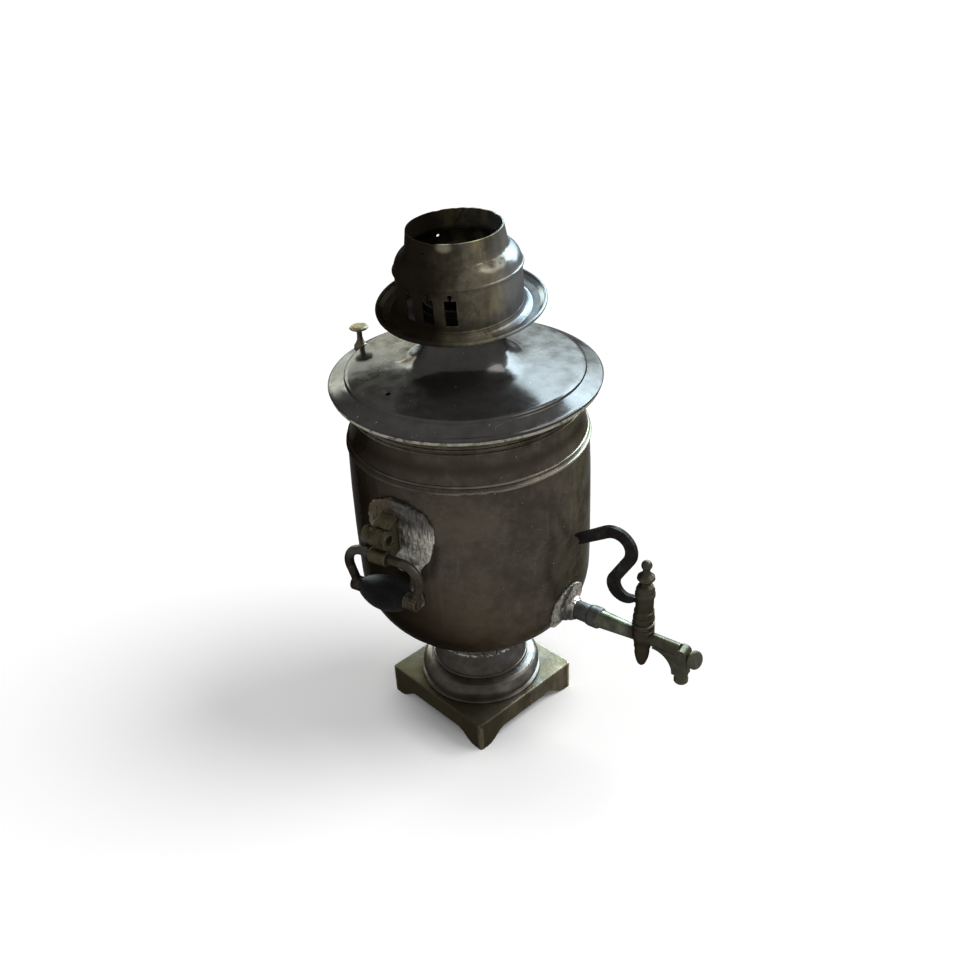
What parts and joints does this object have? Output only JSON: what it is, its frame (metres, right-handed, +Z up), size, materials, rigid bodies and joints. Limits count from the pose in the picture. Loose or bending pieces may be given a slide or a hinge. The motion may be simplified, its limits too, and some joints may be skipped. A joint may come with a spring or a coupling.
{
  "type": "samovar",
  "caption": "Charcoal samovar: jar-shaped water jacket round a fire tube, square footed plate, plug tap with S lever, swinging drop handles, lift-off lid and pierced crown.",
  "frame": {"origin": "centre of the plate's underside on the jacket's axis, at table level", "axes": "+Z up along the jacket's axis, the tap points to -Y, the handles are on -X and +X"},
  "size_m": [0.2959, 0.3628, 0.5038],
  "materials": {
    "cast_brass": "cast, aged, olive patina",
    "tinned_brass": "worn tinning over spun brass",
    "jacket_brass": "spun sheet, aged, satin",
    "ring_brass": "spun sheet, aged, satin",
    "lid_brass": "spun sheet, aged, half polished",
    "crown_brass": "sooty, worn",
    "flue_brass": "sooty sheet",
    "grate_iron": "rough, sooty",
    "tap_brass": "cast and turned, dark patina",
    "socket_tin": "worn tinning",
    "lever_dark": "almost black patina",
    "solder": "dull lead-tin solder",
    "handle_brass": "cast, worn to bare yellow on edges",
    "bail_dark": "dark patina",
    "ebony": "turned, painted black, matte"
  },
  "bodies": {
    "root": {"base_plate": "cast_brass", "foot_skirt": "tinned_brass", "vent_neck": "tinned_brass", "body_shell": "jacket_brass", "neck_ring": "ring_brass", "fire_tube": "flue_brass", "grate": "grate_iron", "tap_solder": "solder", "tap_socket": "socket_tin", "tap_body": "tap_brass", "tap_nozzle": "tap_brass", "spout_leaf": "tap_brass", "handle_solder_left": "solder", "handle_lug_left": "handle_brass", "handle_knuckle_left": "handle_brass", "handle_solder_right": "solder", "handle_lug_right": "handle_brass", "handle_knuckle_right": "handle_brass"},
    "lid": {"lid": "lid_brass", "lid_knob": "ring_brass", "lid_knob_rivet": "ring_brass"},
    "crown": {"crown_base": "flue_brass", "crown_brim": "crown_brass", "crown_wall": "crown_brass", "crown_tube": "crown_brass"},
    "tap_key": {"tap_key": "tap_brass", "tap_lever": "lever_dark", "lever_rivet": "lever_dark", "plug_nut": "tap_brass"},
    "bail_left": {"handle_bail_left": "bail_dark", "grip_rod_left": "bail_dark", "grip_ferrules_left": "bail_dark"},
    "grip_left": {"grip_left": "ebony"},
    "bail_right": {"handle_bail_right": "bail_dark", "grip_rod_right": "bail_dark", "grip_ferrules_right": "bail_dark"},
    "grip_right": {"grip_right": "ebony"}
  },
  "joints": [
    {"name": "lid_lift", "type": "slide", "parent": "root", "child": "lid", "axis": [0, 0, 1], "range_m": [0, 0.08]},
    {"name": "crown_lift", "type": "slide", "parent": "lid", "child": "crown", "axis": [0, 0, 1], "range_m": [0, 0.06]},
    {"name": "tap_turn", "type": "hinge", "parent": "root", "child": "tap_key", "pos_m": [0, -0.185, 0.16], "axis": [0, 0, 1], "range_deg": [-90, 90]},
    {"name": "bail_left_swing", "type": "hinge", "parent": "root", "child": "bail_left", "pos_m": [-0.1325, 0, 0.2535], "axis": [-0.075, 0.9972, 0], "range_deg": [-5, 140]},
    {"name": "bail_right_swing", "type": "hinge", "parent": "root", "child": "bail_right", "pos_m": [0.1325, 0, 0.2535], "axis": [0, -1, 0], "range_deg": [-5, 140]},
    {"name": "grip_left_roll", "type": "hinge", "parent": "bail_left", "child": "grip_left", "pos_m": [-0.1325, 0, 0.215], "axis": [-0.075, 0.9972, 0], "continuous": true},
    {"name": "grip_right_roll", "type": "hinge", "parent": "bail_right", "child": "grip_right", "pos_m": [0.1325, 0, 0.215], "axis": [0, 1, 0], "continuous": true}
  ]
}
